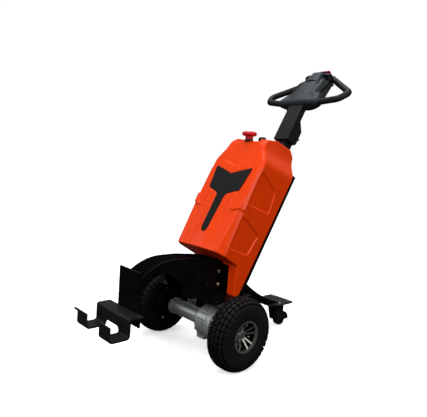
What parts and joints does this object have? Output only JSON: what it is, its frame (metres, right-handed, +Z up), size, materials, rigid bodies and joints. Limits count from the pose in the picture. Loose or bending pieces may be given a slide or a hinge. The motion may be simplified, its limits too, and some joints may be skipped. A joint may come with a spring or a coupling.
{
  "type": "battery tow tug",
  "caption": "Walk-behind battery tow tug: leaning cover, gooseneck with a hooked hitch, two block-tread drive wheels, rear swivel caster and a tilting loop-handled tiller.",
  "frame": {"origin": "on the floor, midway between the hitch's lips and the tiller head's rear end, and midway between the drive wheels", "axes": "+Z up; the hitch points along -Y, the operator stands at +Y; +X is the side with the gear case and the key"},
  "size_m": [0.554, 1.2126, 1.2162],
  "materials": {
    "black_steel": "satin",
    "casting": "cast",
    "battery": "matte",
    "stop_red": "gloss",
    "shaft": "zinc plated",
    "caster_tread": "matte",
    "inlay": "matte",
    "cover": "satin",
    "grip_black": "matte",
    "control_black": "matte",
    "motor_black": "satin",
    "rim": "cast",
    "head_plastic": "matte",
    "tyre": "matte"
  },
  "bodies": {
    "chassis": {"axle_bracket_far": "black_steel", "axle_bracket_near": "black_steel", "axle_tube": "casting", "back_plate": "black_steel", "base_pan": "black_steel", "battery_block": "battery", "caster_deck": "black_steel", "caster_top": "shaft", "cover_inlay": "inlay", "cover_shell": "cover", "front_plate": "black_steel", "gear_case": "casting", "hitch_hook": "black_steel", "key_switch": "control_black", "mast_tube": "black_steel", "motor_cap": "casting", "neck_cheek_far": "black_steel", "neck_cheek_near": "black_steel", "neck_strip": "black_steel", "rear_arm": "black_steel", "rear_motor": "motor_black", "stop_button": "stop_red", "stop_collar": "control_black"},
    "wheel_near": {"tyre_near": "tyre", "rim_near": "rim", "wheel_shaft_near": "shaft"},
    "wheel_far": {"tyre_far": "tyre", "rim_far": "rim", "wheel_shaft_far": "shaft"},
    "caster_swivel": {"caster_housing": "black_steel"},
    "caster_roller": {"caster_wheel": "caster_tread"},
    "tiller": {"belly_switch": "stop_red", "handle_loop": "grip_black", "pivot_bolt": "shaft", "thumb_paddle_far": "control_black", "thumb_paddle_near": "control_black", "tiller_head": "head_plastic", "tiller_yoke": "black_steel"}
  },
  "joints": [
    {"name": "wheel_near_spin", "type": "hinge", "parent": "chassis", "child": "wheel_near", "pos_m": [0.233, -0.14729, 0.135], "axis": [1, 0, 0], "continuous": true},
    {"name": "wheel_far_spin", "type": "hinge", "parent": "chassis", "child": "wheel_far", "pos_m": [-0.233, -0.14729, 0.135], "axis": [1, 0, 0], "continuous": true},
    {"name": "caster_turn", "type": "hinge", "parent": "chassis", "child": "caster_swivel", "pos_m": [0, 0.33671, 0.127], "axis": [0, 0, 1], "continuous": true},
    {"name": "caster_spin", "type": "hinge", "parent": "caster_swivel", "child": "caster_roller", "pos_m": [0, 0.37271, 0.03], "axis": [1, 0, 0], "continuous": true},
    {"name": "tiller_tilt", "type": "hinge", "parent": "chassis", "child": "tiller", "pos_m": [0, 0.33051, 0.87232], "axis": [-1, 0, 0], "range_deg": [-5, 35]}
  ]
}
